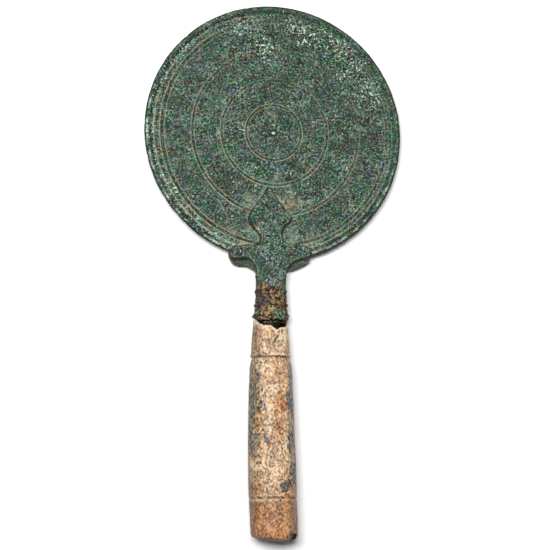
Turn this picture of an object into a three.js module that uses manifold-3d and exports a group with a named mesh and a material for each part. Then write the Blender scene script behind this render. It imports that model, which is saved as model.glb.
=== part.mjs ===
// Ancient hand mirror, lying on its back: a bronze disc with turned rings, a bronze mount with a
// leaf, two short arms and a ringed neck, and a bone handle that the mount's tang goes into.
// Millimetres, +Z up, +Y towards the disc's far edge.

import * as THREE from "three";
import { mergeVertices } from "three/addons/utils/BufferGeometryUtils.js";
import Module from "manifold-3d";

const wasm = await Module();
wasm.setup();

// Driving dimensions. The pieces are modelled level, with the handle's axis on the Y axis and the
// disc's centre near the origin, and are then tilted together until they lie on the ground.
const gap = 0.3; // between pieces that touch
const restTilt = THREE.MathUtils.degToRad(2.58); // the handle is thicker than the disc

const discRadius = 70;
const discLong = 142.6; // the disc is a little out of round: its widest diameter
const discShort = 137.2; // and its narrowest
const discLongTurn = THREE.MathUtils.degToRad(127); // direction of the widest, from +X
const discCentreX = 0.9;
const discSides = 90;
const backZ = -1.3; // plain back of the disc
const faceZ = 0.9; // ringed face of the disc
const rimZ = 1.8; // crest of the rim
const rimInner = 66.3; // where the rim starts to rise
const rimCrest = 68.4;
const rings = [
  // each is a groove between two fine ridges, turned a little off the disc's centre
  { radius: 14.9, offCentre: 0.6 },
  { radius: 28.8, offCentre: 1.1 },
  { radius: 45.3, offCentre: 1.6 },
  { radius: 60.8, offCentre: 0.7 },
];
const ringHalf = 1.6;
const ringRidge = 0.25;
const ringGroove = 0.45;
const outerLineRadius = 64.6; // a single fine ridge
const pitRadius = 2.2; // turning mark at the centre
const pitDepth = 0.8;

const leafTipY = -30.3;
const leafWidestY = -47.1;
const leafHalf = 11.9;
const waistY = -55.8;
const waistHalf = 6.4;
const armTopY = -62;
const armHalf = 22.1; // half the span of the two arms
const lipY = -72.6; // lower edge of the arms, at the lip
const lipReach = 4.4; // how far the hollow moulding below the face carries the lip out
const lipZ = -2.6;
const mountBackZ = -4.4;
const leafTipZ = 2.5; // the mount's face rises evenly from the leaf's tip to the neck
const mountFaceRise = 0.035;
const mountBevel = 0.7;
const mountLean = 1.2; // how far the leaf stands to the left of the handle's axis

const neckTopY = -67;
const neckEndY = -102.8;
const neckHalf = 8.4;
const neckFootHalf = 9.5;
const neckRingYs = [-86.7, -94.4];
const neckSides = 36;

const tangHalf = 5;
const tangEndHalf = 3.2;
const tangEndY = -132;

const boneTopY = neckEndY - gap;
const boneEndY = -218.2;
const boneSides = 40;
const boneDepth = 0.95; // its thickness as a share of its width
const boneWall = 2.2; // at the broken mouth
const boneMouthDepth = 3.2;
const boneGrooveYs = [-123.3, -198.2];
const boneGrooveHalf = 0.9;
const boneGrooveDepth = 0.75;
const boneBend = 1.6; // how far to the right the bone curves by its lower end
const boneEndSlant = THREE.MathUtils.degToRad(3.2); // the lower end is cut askew

// Solids and geometries

function toSolid(geometry) {
  const bare = geometry.clone();
  bare.deleteAttribute("normal");
  bare.deleteAttribute("uv");
  const merged = mergeVertices(bare, 1e-3);
  const corners = merged.index.array;
  const kept = [];
  for (let i = 0; i < corners.length; i += 3) {
    const [a, b, c] = corners.slice(i, i + 3);
    if (a !== b && b !== c && c !== a) kept.push(a, b, c);
  }
  return new wasm.Manifold(
    new wasm.Mesh({
      numProp: 3,
      vertProperties: Float32Array.from(merged.attributes.position.array),
      triVerts: Uint32Array.from(kept),
    }),
  );
}

function toGeometry(solid) {
  const { vertProperties, triVerts } = solid.getMesh();
  const geometry = new THREE.BufferGeometry();
  geometry.setAttribute("position", new THREE.BufferAttribute(vertProperties, 3));
  geometry.setIndex(new THREE.BufferAttribute(triVerts, 1));
  geometry.computeVertexNormals();
  return geometry;
}

// Moves each vertex of a geometry to where `place` says
function reshape(geometry, place) {
  const position = geometry.attributes.position;
  const point = new THREE.Vector3();
  for (let i = 0; i < position.count; i++) {
    point.fromBufferAttribute(position, i);
    place(point);
    position.setXYZ(i, point.x, point.y, point.z);
  }
  return geometry;
}

function points(pairs) {
  return pairs.map(([x, y]) => new THREE.Vector2(x, y));
}

function blockAt(width, length, height, x, y, z) {
  return new THREE.BoxGeometry(width, length, height).translate(x, y, z);
}

// Disc

// How far off the disc's centre the turning is at a radius
function offCentreAt(radius) {
  const stops = [{ ...rings[0], radius: 0 }, ...rings, { radius: rimInner, offCentre: 0 }];
  const next = stops.findIndex((stop) => stop.radius > radius);
  if (next < 1) return 0;
  const [from, to] = [stops[next - 1], stops[next]];
  const share = (radius - from.radius) / (to.radius - from.radius);
  return THREE.MathUtils.lerp(from.offCentre, to.offCentre, share);
}

// A lathe profile of radius and height, turned about Z and drawn out of round
function discTurned(profile) {
  const share = (diameter) => diameter / 2 / discRadius;
  const turned = new THREE.LatheGeometry(points(profile), discSides).rotateX(Math.PI / 2);
  return reshape(turned, (p) => {
    p.x += offCentreAt(Math.hypot(p.x, p.y));
  })
    .rotateZ(-discLongTurn)
    .scale(share(discLong), share(discShort), 1)
    .rotateZ(discLongTurn)
    .translate(discCentreX, 0, 0);
}

function ringProfile({ radius }) {
  return [
    [radius + ringHalf, faceZ],
    [radius + ringHalf / 2, faceZ + ringRidge],
    [radius, faceZ - ringGroove],
    [radius - ringHalf / 2, faceZ + ringRidge],
    [radius - ringHalf, faceZ],
  ];
}

function discGeometry() {
  const rimMiddleZ = (backZ + rimZ) / 2;
  return discTurned([
    [0, backZ],
    [discRadius - 1.3, backZ],
    [discRadius - 0.35, backZ + 0.5],
    [discRadius, rimMiddleZ],
    [discRadius - 0.4, rimZ - 0.6],
    [rimCrest, rimZ],
    [rimInner + 0.8, faceZ + 0.3],
    [rimInner, faceZ - 0.15],
    [outerLineRadius + 0.8, faceZ],
    [outerLineRadius, faceZ + ringRidge],
    [outerLineRadius - 0.8, faceZ],
    ...[...rings].reverse().flatMap(ringProfile),
    [pitRadius, faceZ],
    [pitRadius - 0.7, faceZ - pitDepth],
    [0, faceZ - pitDepth],
  ]);
}

// The space that the disc takes out of the mount, with the gap round it
function discSpace() {
  const coverZ = faceZ + ringRidge + gap;
  return discTurned([
    [0, backZ - gap],
    [discRadius + gap, backZ - gap],
    [discRadius + gap, rimZ - 0.4],
    [rimCrest + gap, rimZ + gap],
    [rimCrest - gap, rimZ + gap],
    [rimInner, coverZ],
    [0, coverZ],
  ]);
}

// Handle mount: leaf, arms and neck, cast as one

// Right half of the mount's outline, from the leaf's tip down to the neck
function mountHalfOutline() {
  const half = new THREE.Path();
  half.moveTo(0, leafTipY);
  half.quadraticCurveTo(6.5, leafTipY - 7.7, leafHalf - 0.8, leafWidestY + 1.5);
  half.quadraticCurveTo(leafHalf + 0.3, leafWidestY, leafHalf - 0.8, leafWidestY - 1.8);
  half.bezierCurveTo(leafHalf - 3.8, -52.2, waistHalf, -53.6, waistHalf, waistY);
  half.bezierCurveTo(waistHalf, -59.6, 8.6, armTopY + 0.6, 13.6, armTopY + 0.1);
  half.lineTo(armHalf - 3.6, armTopY - 0.7);
  half.quadraticCurveTo(armHalf - 0.7, armTopY - 1, armHalf - 0.3, armTopY - 3.8);
  half.lineTo(armHalf, lipY + 2);
  half.quadraticCurveTo(armHalf, lipY + 0.2, armHalf - 1.8, lipY);
  half.bezierCurveTo(16, lipY + 0.4, 9.6, lipY - 0.2, neckHalf + 0.2, lipY - 4.4);
  half.lineTo(neckHalf, lipY - 7);
  return half.getPoints(5);
}

function mountLeanAt(y) {
  return -mountLean * THREE.MathUtils.smoothstep(y, lipY - 7, leafWidestY + 6);
}

function mountPlate() {
  const right = mountHalfOutline();
  const left = right
    .slice(1)
    .reverse()
    .map((p) => new THREE.Vector2(-p.x, p.y));
  const outline = new THREE.Shape([...right, ...left]);
  const plate = new THREE.ExtrudeGeometry(outline, {
    depth: 1,
    steps: 4,
    bevelThickness: 0.2,
    bevelSize: mountBevel,
    bevelOffset: -mountBevel,
    bevelSegments: 1,
  });
  const middleY = (armTopY + lipY) / 2;
  return reshape(plate, (p) => {
    // The bevels take z from -0.2 to 1.2, and the sides between them are the hollow moulding
    const side = THREE.MathUtils.clamp(p.z, 0, 1);
    const onArm = THREE.MathUtils.smoothstep(Math.abs(p.x), neckHalf - 1, neckHalf + 4);
    if (p.y < middleY) p.y += lipReach * side * onArm;
    const faceHere = leafTipZ + mountFaceRise * (leafTipY - p.y);
    if (p.z < 0) p.z = mountBackZ;
    else if (p.z > 1) p.z = faceHere;
    else p.z = lipZ + (faceHere - mountBevel - lipZ) * side ** 2;
    p.x += mountLeanAt(p.y);
  });
}

function neckRing(y) {
  return [
    [neckHalf, y - 0.9],
    [neckHalf + 0.75, y],
    [neckHalf, y + 0.9],
  ];
}

function neckAndTang() {
  const [upperRing, lowerRing] = neckRingYs.map(neckRing);
  const profile = [
    [0, tangEndY],
    [tangEndHalf, tangEndY],
    [tangHalf, neckEndY],
    [neckFootHalf - 1.2, neckEndY],
    [neckFootHalf - 0.4, neckEndY + 0.5],
    [neckFootHalf, neckEndY + 2.9],
    [neckHalf + 0.5, neckEndY + 5],
    ...lowerRing,
    ...upperRing,
    [neckHalf - 0.1, -79.2],
    [neckHalf - 0.35, -78.5],
    [neckHalf - 0.1, -77.8],
    [neckHalf - 1, -73],
    [neckHalf - 3.5, neckTopY - 1],
    [0, neckTopY],
  ];
  const turned = new THREE.LatheGeometry(points(profile), neckSides);
  return reshape(turned, (p) => {
    const down = THREE.MathUtils.clamp((neckTopY - p.y) / (neckTopY - neckEndY), 0, 1);
    if (p.y >= neckEndY) p.z *= THREE.MathUtils.lerp(0.56, 0.9, down);
  });
}

function mountGeometry() {
  // Behind the disc only the arms remain, as a plain lug
  const behindDisc = blockAt(80, 60, 20, 0, armTopY + 30, backZ - 10);
  const solid = toSolid(mountPlate())
    .add(toSolid(neckAndTang()))
    .subtract(toSolid(discSpace()))
    .subtract(toSolid(behindDisc));
  return toGeometry(solid);
}

// Bone handle

// Half widths of the bone down its length, between its two turned grooves and beyond them
const boneHalves = [
  [boneTopY, 9.6],
  [-106, 9.9],
  [-114, 10.6],
  [boneGrooveYs[0] + boneGrooveHalf, 11.1],
  [boneGrooveYs[0] - boneGrooveHalf, 11.1],
  [-133, 11.6],
  [-147, 12.15],
  [-162, 12.6],
  [-178, 12.95],
  [boneGrooveYs[1] + boneGrooveHalf, 13.1],
  [boneGrooveYs[1] - boneGrooveHalf, 13.2],
  [-210, 13.15],
  [boneEndY - 4, 12.95],
];

function boneTurned() {
  const outside = boneHalves.map(([y, half]) => [half, y]).reverse();
  for (const y of boneGrooveYs) {
    const below = outside.findIndex((p) => p[1] > y);
    outside.splice(below, 0, [outside[below][0] - boneGrooveDepth, y]);
  }
  const profile = [
    [0, outside[0][1]],
    ...outside,
    [outside.at(-1)[0] - boneWall, boneTopY],
    [tangHalf + 0.8, boneTopY - boneMouthDepth],
    [tangHalf + gap, boneTopY - boneMouthDepth],
    [tangEndHalf + gap, tangEndY - gap],
    [0, tangEndY - gap],
  ];
  const outerReach = tangHalf + 2;
  return reshape(new THREE.LatheGeometry(points(profile), boneSides), (p) => {
    if (Math.hypot(p.x, p.z) > outerReach) {
      p.z *= boneDepth;
      p.x += boneBend * ((boneTopY - p.y) / (boneTopY - boneEndY)) ** 3;
    }
  });
}

// What broke off the front of the mouth, seen from above as a slope with one notch
function mouthChip() {
  const lost = new THREE.Shape(
    points([
      [-6.6, boneTopY + 1],
      [-4.9, boneTopY - 1.5],
      [-3.3, boneTopY - 2.2],
      [0.2, boneTopY - 2.3],
      [3.6, boneTopY - 4.3],
      [5.2, boneTopY - 3.4],
      [12, boneTopY - 2.9],
      [12, boneTopY + 1],
    ]),
  );
  return new THREE.ExtrudeGeometry(lost, { depth: 14, bevelEnabled: false }).translate(0, 0, 2);
}

// Everything past the slanted lower end, with the corner that is chipped off it
function lowerEndLoss() {
  const beyond = blockAt(60, 20, 40, 0, -10, 0)
    .rotateZ(boneEndSlant * -1)
    .translate(0, boneEndY, 0);
  const corner = blockAt(8, 6, 12, 0, 0, 0)
    .rotateZ(THREE.MathUtils.degToRad(-15))
    .translate(14, boneEndY - 1, 10);
  return toSolid(beyond).add(toSolid(corner));
}

// The ground as the level pieces meet it, under the disc's far rim
function groundUnder(geometry) {
  const lying = geometry.clone().rotateX(-restTilt);
  lying.computeBoundingBox();
  const depth = 20;
  return blockAt(80, 200, depth, 0, -120, lying.boundingBox.min.z - depth / 2).rotateX(restTilt);
}

function boneGeometry(ground) {
  const solid = toSolid(boneTurned())
    .subtract(toSolid(mouthChip()))
    .subtract(lowerEndLoss())
    .subtract(toSolid(ground));
  return toGeometry(solid);
}

// Materials and assembly

const patina = new THREE.MeshStandardMaterial({ color: 0x5a6a5e, roughness: 0.8, metalness: 0.3 });
const crustedPatina = new THREE.MeshStandardMaterial({
  color: 0x55625a,
  roughness: 0.85,
  metalness: 0.25,
});
const agedBone = new THREE.MeshStandardMaterial({ color: 0xb99979, roughness: 0.65, metalness: 0 });

function piece(name, geometry, material) {
  const mesh = new THREE.Mesh(geometry, material);
  mesh.name = name;
  return mesh;
}

const disc = piece("disc", discGeometry(), patina);
const mount = piece("handle_mount", mountGeometry(), crustedPatina);
const handle = piece("handle", boneGeometry(groundUnder(disc.geometry)), agedBone);

const level = new THREE.Group();
level.add(disc, mount, handle);
level.rotation.x = -restTilt;

const mirror = new THREE.Group();
mirror.add(level);

// The origin is the middle of the ground that the mirror covers
const bounds = new THREE.Box3().setFromObject(mirror, true);
const middle = bounds.getCenter(new THREE.Vector3());
level.position.set(-middle.x, -middle.y, -bounds.min.z);

export default mirror;
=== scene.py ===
# Ancient bronze hand mirror with a bone grip, lying face up on a pale table.
import math
import bmesh
import bpy
from mathutils import Matrix, Vector, noise
from mathutils.kdtree import KDTree


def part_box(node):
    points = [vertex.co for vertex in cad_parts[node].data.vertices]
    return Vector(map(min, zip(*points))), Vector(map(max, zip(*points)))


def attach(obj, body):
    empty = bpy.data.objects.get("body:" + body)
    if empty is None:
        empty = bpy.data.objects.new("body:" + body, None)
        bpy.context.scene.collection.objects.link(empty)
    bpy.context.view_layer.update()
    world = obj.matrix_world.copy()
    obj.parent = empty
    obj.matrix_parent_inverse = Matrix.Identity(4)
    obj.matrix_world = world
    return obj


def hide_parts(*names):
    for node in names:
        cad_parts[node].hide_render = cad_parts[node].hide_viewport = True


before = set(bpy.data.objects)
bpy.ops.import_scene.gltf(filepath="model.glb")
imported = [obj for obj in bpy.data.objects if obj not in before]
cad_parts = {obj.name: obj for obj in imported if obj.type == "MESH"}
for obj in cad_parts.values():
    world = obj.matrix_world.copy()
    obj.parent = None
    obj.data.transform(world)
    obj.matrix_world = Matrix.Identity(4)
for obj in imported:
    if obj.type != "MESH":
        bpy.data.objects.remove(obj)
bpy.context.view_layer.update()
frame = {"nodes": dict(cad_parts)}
print("frame loaded:", ", ".join(frame["nodes"]))

# Every piece is shaped level and in millimetres, the disc's middle near the origin and the grip along -Y.
# layDown then tips it by the angle the mirror lies at and puts it where the frame has its disc.
lying = {"tilt": 2.58, "discMiddle": (0.9, 0.0, 0.25)}
discLow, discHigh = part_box("disc")
layDown = (
    Matrix.Translation((discLow + discHigh) / 2)
    @ Matrix.Rotation(math.radians(-lying["tilt"]), 4, "X")
    @ Matrix.Scale(0.001, 4)
    @ Matrix.Translation(-Vector(lying["discMiddle"]))
)


# Small helpers for shaping

def clamp(value, low=0.0, high=1.0):
    return max(low, min(high, value))


def ease(value, start, end):  # 0 before start, 1 after end, smooth between
    share = clamp((value - start) / (end - start))
    return share * share * (3 - 2 * share)


def hump(distance, width):  # 1 in the middle, 0 from width on
    return max(0.0, 1 - (distance / width) ** 2) ** 2


def between(pairs, x):  # reads a line of (x, y) pairs at x
    if x <= pairs[0][0]:
        return pairs[0][1]
    for (x0, y0), (x1, y1) in zip(pairs, pairs[1:]):
        if x <= x1:
            return y0 + (y1 - y0) * (x - x0) / (x1 - x0)
    return pairs[-1][1]


def wander(point, size, seed=0):  # smooth noise about as coarse as size, -1 to 1
    return noise.noise(point / size + Vector((17.3, 5.1, 9.7)) * seed)


def spots(point, size, chance, seed=0):  # scattered round spots, 1 in the middle of each
    distances, middles = noise.voronoi(point / size + Vector((3.9, 8.3, 1.7)) * seed)
    lucky = noise.cell(middles[0] * 31.7) * 0.5 + 0.5 < chance
    return hump(distances[0], 0.42) if lucky else 0.0


def patchAt(point, patches, ragged=0.35, seed=0):  # how deep inside any of (x, y, radius)
    torn = 1 + ragged * (wander(point, 5, seed) + 0.6 * wander(point, 1.8, seed + 1))
    deepest = 0.0
    for x, y, radius in patches:
        away = math.hypot(point.x - x, point.y - y) / radius
        deepest = max(deepest, 1 - ease(away * torn, 0.45, 1.15))
    return deepest


def smoothLine(corners, steps, closed=True):  # a curve through the corners
    count = len(corners)
    line = []
    for i in range(count if closed else count - 1):
        if closed:
            a, b, c, d = (Vector(corners[(i + k) % count]) for k in (-1, 0, 1, 2))
        else:
            a, b, c, d = (Vector(corners[min(max(i + k, 0), count - 1)]) for k in (-1, 0, 1, 2))
        for step in range(steps):
            t = step / steps
            line.append(
                b + ((c - a) * t + (2 * a - 5 * b + 4 * c - d) * t ** 2 + (3 * b - a - 3 * c + d) * t ** 3) / 2
            )
    return line


def withModifiers(bm, *wanted):  # the mesh after a stack of modifiers
    mesh = bpy.data.meshes.new("work")
    bm.to_mesh(mesh)
    bm.free()
    work = bpy.data.objects.new("work", mesh)
    bpy.context.scene.collection.objects.link(work)
    for kind, values in wanted:
        modifier = work.modifiers.new(kind.lower(), kind)
        for key, value in values.items():
            setattr(modifier, key, value)
    done = work.evaluated_get(bpy.context.evaluated_depsgraph_get())
    result = bmesh.new()
    result.from_mesh(done.to_mesh())
    done.to_mesh_clear()
    bpy.data.objects.remove(work)
    bpy.data.meshes.remove(mesh)
    return result


def spun(corners, steps, axis):  # a closed turned shape; corners are (radius, along, longest edge after it)
    bm = bmesh.new()
    across = Vector((1, 0, 0))
    verts = [bm.verts.new(across * radius + axis * along) for radius, along, _ in corners]
    edges = [bm.edges.new(pair) for pair in zip(verts, verts[1:])]
    cuts = [math.ceil(edge.calc_length() / corner[2]) - 1 for edge, corner in zip(edges, corners)]
    for count in sorted(set(cuts) - {0}):
        bmesh.ops.subdivide_edges(bm, edges=[e for e, c in zip(edges, cuts) if c == count], cuts=count)
    bmesh.ops.spin(
        bm, geom=bm.verts[:] + bm.edges[:], cent=(0, 0, 0), axis=axis,
        angle=math.tau, steps=steps, use_merge=True, use_duplicate=False,
    )
    bmesh.ops.remove_doubles(bm, verts=bm.verts, dist=0.0005)
    bmesh.ops.recalc_face_normals(bm, faces=bm.faces)
    bm.normal_update()
    return bm


def finishPiece(name, bm, material, node):
    bmesh.ops.transform(bm, matrix=layDown, verts=bm.verts)
    for vert in bm.verts:
        vert.co.z = max(vert.co.z, 0.0)  # nothing sinks into the table
    mesh = bpy.data.meshes.new(name)
    bm.to_mesh(mesh)
    bm.free()
    mesh.shade_smooth()
    mesh.materials.append(material)
    piece = bpy.data.objects.new(name, mesh)
    bpy.context.scene.collection.objects.link(piece)
    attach(piece, "root")
    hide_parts(node)
    print(name, len(mesh.vertices), "vertices")
    return piece


# Small helpers for materials

def paint(red, green, blue):  # a screen colour, 0 to 255, as the shader wants it
    return tuple((c / 255 / 12.92 if c < 11 else ((c / 255 + 0.055) / 1.055) ** 2.4) for c in (red, green, blue)) + (1,)


def addNode(tree, kind, inputs=None, **settings):
    node = tree.nodes.new(kind)
    for key, value in settings.items():
        setattr(node, key, value)
    for key, value in (inputs or {}).items():
        if isinstance(value, bpy.types.NodeSocket):
            tree.links.new(value, node.inputs[key])
        else:
            node.inputs[key].default_value = value
    return node


def grain(tree, where, scale, detail=2.0, rough=0.5, shift=(0, 0, 0), stretch=(1, 1, 1), twist=0.0):
    moved = addNode(tree, "ShaderNodeMapping", {"Vector": where, "Location": shift, "Scale": stretch})
    return addNode(
        tree, "ShaderNodeTexNoise",
        {"Vector": moved.outputs[0], "Scale": scale, "Detail": detail, "Roughness": rough, "Distortion": twist},
    ).outputs[0]


def cells(tree, where, scale, feature="F1", shift=(0, 0, 0), stretch=(1, 1, 1)):
    moved = addNode(tree, "ShaderNodeMapping", {"Vector": where, "Location": shift, "Scale": stretch})
    return addNode(tree, "ShaderNodeTexVoronoi", {"Vector": moved.outputs[0], "Scale": scale}, feature=feature).outputs[0]


def only(tree, value, low, high):  # 0 up to low, 1 from high on
    return addNode(
        tree, "ShaderNodeMapRange", {"Value": value, "From Min": low, "From Max": high},
        interpolation_type="SMOOTHSTEP",
    ).outputs[0]


def sums(tree, operation, first, second):
    node = addNode(tree, "ShaderNodeMath", {0: first, 1: second}, operation=operation)
    return node.outputs[0]


def times(tree, first, second):
    return sums(tree, "MULTIPLY", first, second)


def plus(tree, first, second):
    return sums(tree, "ADD", first, second)


def blend(tree, share, under, over, how="MIX"):
    node = addNode(tree, "ShaderNodeMix", {0: share, 6: under, 7: over}, data_type="RGBA", blend_type=how)
    return node.outputs[2]


def shades(tree, value, stops):
    node = addNode(tree, "ShaderNodeValToRGB", {0: value})
    ramp = node.color_ramp
    while len(ramp.elements) < len(stops):
        ramp.elements.new(0.5)
    for element, (place, colour) in zip(ramp.elements, stops):
        element.position = place
        element.color = colour
    return node.outputs[0]


def mask(tree, name):  # a shaping mask kept on the mesh
    return addNode(tree, "ShaderNodeAttribute", attribute_name=name, attribute_type="GEOMETRY").outputs["Fac"]


def newMaterial(name):
    material = bpy.data.materials.new(name)
    material.use_nodes = True
    tree = material.node_tree
    shader = tree.nodes["Principled BSDF"]
    where = addNode(tree, "ShaderNodeTexCoord").outputs["Object"]
    return material, tree, shader, where


def bumped(tree, shader, *layers):  # layers of (height, depth in mm)
    normal = None
    for height, depth in layers:
        node = addNode(tree, "ShaderNodeBump", {"Height": height, "Distance": depth * 0.001, "Strength": 1.0})
        if normal:
            tree.links.new(normal, node.inputs["Normal"])
        normal = node.outputs["Normal"]
    tree.links.new(normal, shader.inputs["Normal"])


# Bronze patina

patina = {
    "grainSize": 1060,
    "greys": [(0.33, paint(17, 26, 21)), (0.42, paint(42, 56, 49)), (0.5, paint(67, 85, 75)), (0.58, paint(99, 121, 108)),
              (0.69, paint(165, 192, 174))],
    # tints that wander over it; the middle one of each leaves the grey as it is
    "greenTints": [(0.37, (0.98, 0.71, 0.79, 1)), (0.5, (0.80, 0.80, 0.80, 1)), (0.62, (0.44, 0.88, 0.66, 1))],
    "slateTints": [(0.37, (0.86, 0.83, 0.60, 1)), (0.5, (0.80, 0.80, 0.80, 1)), (0.62, (0.74, 0.78, 0.95, 1))],
    "brownTint": (0.68, 0.50, 0.42, 1),
    "brownShare": 0.75,
    "dark": paint(15, 19, 15),
    "mintAndHighlight": paint(206, 230, 212),
    "crest": paint(136, 158, 142),
    "tan": paint(200, 178, 150),
    "wornGreen": paint(150, 176, 144),
    "shadeAndDirt": paint(13, 14, 9),
    "rust": paint(136, 92, 62),
    "olive": paint(116, 124, 66),
    "specular": 0.15,
}


def patinaColour(tree, where, look):
    size = look["grainSize"]
    crust = mask(tree, "crust")
    strip = mask(tree, "strip")
    roughness = plus(tree, times(tree, grain(tree, where, 90, 3, 0.6, shift=(4.0, 2.0, 6.0)), 1.5), times(tree, crust, 0.4))
    roughness = plus(tree, plus(tree, roughness, 0.12), times(tree, strip, -0.4))
    fine = grain(tree, where, size, 1.5, 0.6)
    fine = plus(tree, 0.5, times(tree, plus(tree, fine, -0.5), roughness))
    second = grain(tree, where, size * 0.8, 2, 0.55, shift=(3.1, 1.7, 0.4))
    colour = shades(tree, fine, look["greys"])
    greenField = plus(tree, grain(tree, where, 240, 3, 0.55, shift=(0.3, 5.5, 2.4)), times(tree, strip, 0.08))
    colour = blend(tree, 1.0, colour, shades(tree, greenField, look["greenTints"]), "MULTIPLY")
    slateField = grain(tree, where, 210, 3, 0.55, shift=(2.2, 0.1, 1.3))
    colour = blend(tree, 1.0, colour, shades(tree, slateField, look["slateTints"]), "MULTIPLY")
    brownField = plus(tree, grain(tree, where, 190, 5, 0.62, shift=(6.0, 0.7, 3.4)), times(tree, mask(tree, "brown"), 0.12))
    browns = times(tree, only(tree, brownField, 0.55, 0.62), look["brownShare"])
    colour = blend(tree, browns, colour, look["brownTint"], "MULTIPLY")
    # thin curled crests and cracks, and dark pits
    curls = grain(tree, where, 300, 2, 0.5, shift=(8.1, 3.7, 0.6), twist=0.8)
    crests = only(tree, sums(tree, "ABSOLUTE", plus(tree, curls, -0.5), 0.0), 0.04, 0.01)
    here = only(tree, grain(tree, where, 130, 2, 0.5, shift=(1.1, 0.4, 3.3)), 0.44, 0.6)
    colour = blend(tree, times(tree, times(tree, crests, here), 0.55), colour, look["crest"])
    curls = grain(tree, where, 240, 2, 0.5, shift=(0.9, 6.2, 4.8), twist=0.8)
    cracks = only(tree, sums(tree, "ABSOLUTE", plus(tree, curls, -0.5), 0.0), 0.03, 0.008)
    there = only(tree, grain(tree, where, 130, 2, 0.5, shift=(5.2, 7.4, 0.2)), 0.46, 0.6)
    colour = blend(tree, times(tree, times(tree, cracks, there), 0.6), colour, look["dark"])
    pits = only(tree, plus(tree, second, plus(tree, times(tree, crust, 0.03), times(tree, strip, -0.05))), 0.60, 0.68)
    colour = blend(tree, times(tree, pits, 0.8), colour, look["dark"])
    mintNoise = plus(tree, times(tree, crust, 0.095), grain(tree, where, size * 0.8, 2, 0.5, shift=(1.9, 8.8, 5.0)))
    colour = blend(tree, times(tree, only(tree, mintNoise, 0.68, 0.76), 0.8), colour, look["mintAndHighlight"])
    specks = grain(tree, where, size * 0.6, 1, 0.5, shift=(4.4, 3.6, 9.1))
    colour = blend(tree, times(tree, only(tree, specks, 0.71, 0.77), 0.5), colour, look["rust"])
    colour = blend(tree, times(tree, only(tree, specks, 0.31, 0.26), 0.5), colour, look["olive"])
    # worn lines and edges, partly painted highlight, tan in places and green in others
    wornLook = blend(tree, only(tree, slateField, 0.44, 0.56), look["tan"], look["wornGreen"])
    wornPlaces = times(tree, mask(tree, "wearAndHighlight"), only(tree, second, 0.32, 0.50))
    colour = blend(tree, times(tree, wornPlaces, 0.85), colour, wornLook)
    # mint where its mask is set: pale fill in the pit, and rim streaks that are partly painted highlight
    colour = blend(tree, times(tree, mask(tree, "mintAndHighlight"), only(tree, second, 0.36, 0.52)), colour, look["mintAndHighlight"])
    return colour, fine, second


def shadedAndSoiled(tree, colour, look):
    # darkens where its mask is set: dirt in some places, painted shade in recesses, seams, hollows and on surfaces
    # turned from the light
    return blend(tree, times(tree, mask(tree, "shadeAndDirt"), 0.92), colour, look["shadeAndDirt"])


def patinaFinish(tree, shader, where, look, fine, second):
    rough = addNode(tree, "ShaderNodeMapRange", {"Value": second, "From Min": 0.3, "From Max": 0.7, "To Min": 0.5, "To Max": 0.8})
    tree.links.new(rough.outputs[0], shader.inputs["Roughness"])
    shader.inputs["Specular IOR Level"].default_value = look["specular"]
    coarse = grain(tree, where, 420, 3, 0.6, shift=(2.6, 0.9, 7.1))
    bumped(tree, shader, (coarse, 0.4), (fine, 0.25))


def patinaMaterial(name, look):
    material, tree, shader, where = newMaterial(name)
    colour, fine, second = patinaColour(tree, where, look)
    tree.links.new(shadedAndSoiled(tree, colour, look), shader.inputs["Base Color"])
    patinaFinish(tree, shader, where, look, fine, second)
    return material


# Disc

disc = {
    "radius": 70.0,
    "long": 142.6,  # a little out of round
    "short": 137.2,
    "longTurn": 127,  # direction of its long diameter
    "middleX": 0.9,
    "back": -1.3,
    "face": 0.9,
    "rim": 1.8,
    "rings": [  # radius, off centre, half the way between its two ridges, inner ridge, direction where it shows best, least
        (15.0, 0.6, 0.75, 0.5, 225, 0.7),
        (28.8, 1.1, 0.9, 0.7, 250, 0.25),
        (45.3, 1.6, 0.9, 0.65, 235, 0.12),
        (61.5, 1.2, 1.1, 0.8, 235, 0.22),
    ],
    "ridgeHigh": 0.2,
    "grooveDeep": 0.42,
    "outerLine": 65.2,
    "pit": 1.9,
    "pitDeep": 0.8,
    "turns": 560,
    "warts": [(14.0, 48.3, 1.3), (-8.7, 42.3, 1.0), (33, 28, 1.2), (-20, 31, 1.1), (41, -20, 1.2), (-44, -9, 1.0)],
    "brown": [(-10.6, 12.4, 8), (-26.2, -23.7, 9), (49.5, 6.4, 11), (37.6, -3.2, 9), (13.2, -22.7, 7), (17, 51, 6), (52, 17, 6)],
    "crust": [(20.7, 54.7, 8), (31, 51, 8), (38.5, 45.7, 9), (45.5, 35.8, 9), (54.1, 24.3, 8), (-13, 60, 9), (12.3, 60, 6), (-3.3, 46.4, 9), (-57, -30, 9), (-45, -48, 9)],
    "tan": [(12.4, -39.1, 6), (-12.2, -38.5, 5), (-11, -55, 5), (-21, -57, 6), (12, -57, 5), (22, -58, 6), (1, -28.5, 3)],
}


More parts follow.
